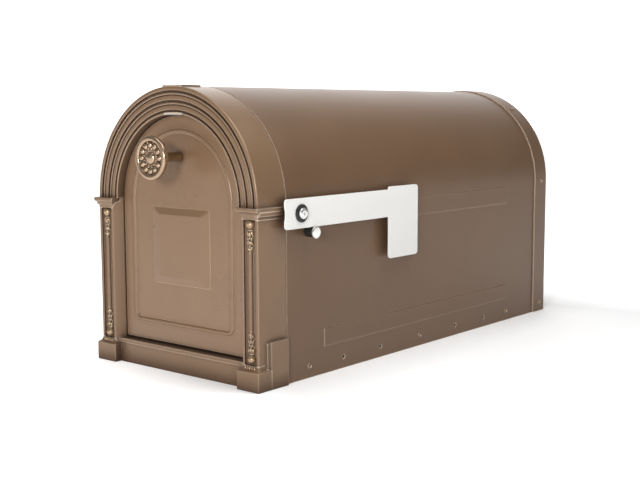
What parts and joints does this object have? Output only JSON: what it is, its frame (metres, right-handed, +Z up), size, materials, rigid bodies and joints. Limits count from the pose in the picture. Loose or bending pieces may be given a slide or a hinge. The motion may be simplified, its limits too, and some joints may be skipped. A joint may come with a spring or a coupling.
{
  "type": "parcel drop box",
  "caption": "Arched kerbside letter and parcel box: folded steel body, cast front frame with a drop-down door, rosette knob and a turning side signal flag.",
  "frame": {"origin": "middle of the mounting-board seat, the underside of the floor sheet", "axes": "+Z up, the door faces -Y, the flag is on the +X side"},
  "size_m": [0.2509, 0.5988, 0.2951],
  "materials": {
    "bronze_powder_coat": "satin bronze powder coat on sheet steel",
    "bronze_cast_paint": "satin bronze paint on die-cast aluminium",
    "bronze_rivet": "painted domed rivet",
    "galvanised_sheet": "matt painted sheet steel",
    "zinc_steel": "bright zinc plate",
    "catch_strip": "plain spring steel",
    "antique_brass": "antique bronze-brass, lacquered",
    "silver_paint": "light silver paint on aluminium",
    "black_nylon": "black moulded nylon",
    "bright_bolt": "polished",
    "black_rubber": "matt"
  },
  "bodies": {
    "box": {"body_shell": "bronze_powder_coat", "floor_pan": "galvanised_sheet", "rear_panel": "bronze_powder_coat", "rear_rivets": "bronze_rivet", "side_rivets": "bronze_rivet", "floor_rivets": "zinc_steel", "front_frame": "bronze_cast_paint", "frame_screws": "zinc_steel", "latch_catch": "catch_strip", "catch_screws": "zinc_steel", "hinge_pins": "zinc_steel", "flag_bolt": "bright_bolt", "flag_washer": "zinc_steel", "flag_spring_washer": "zinc_steel", "flag_nut": "zinc_steel", "stop_sleeve": "black_rubber", "stop_screw": "bright_bolt", "stop_nut": "zinc_steel"},
    "door": {"door_panel": "bronze_cast_paint", "latch_tab": "zinc_steel", "latch_tab_screws": "zinc_steel", "knob_stem": "antique_brass", "knob_rosette": "antique_brass", "knob_dome": "antique_brass", "knob_screw": "zinc_steel", "knob_washer": "zinc_steel"},
    "flag": {"flag_plate": "silver_paint", "flag_bushing": "black_nylon"}
  },
  "joints": [
    {"name": "door_hinge", "type": "hinge", "parent": "box", "child": "door", "pos_m": [0, -0.2647, 0.013], "axis": [1, 0, 0], "range_deg": [0, 95]},
    {"name": "flag_pivot", "type": "hinge", "parent": "box", "child": "flag", "pos_m": [0.1255, -0.229, 0.1495], "axis": [1, 0, 0], "range_deg": [0, 90]}
  ]
}
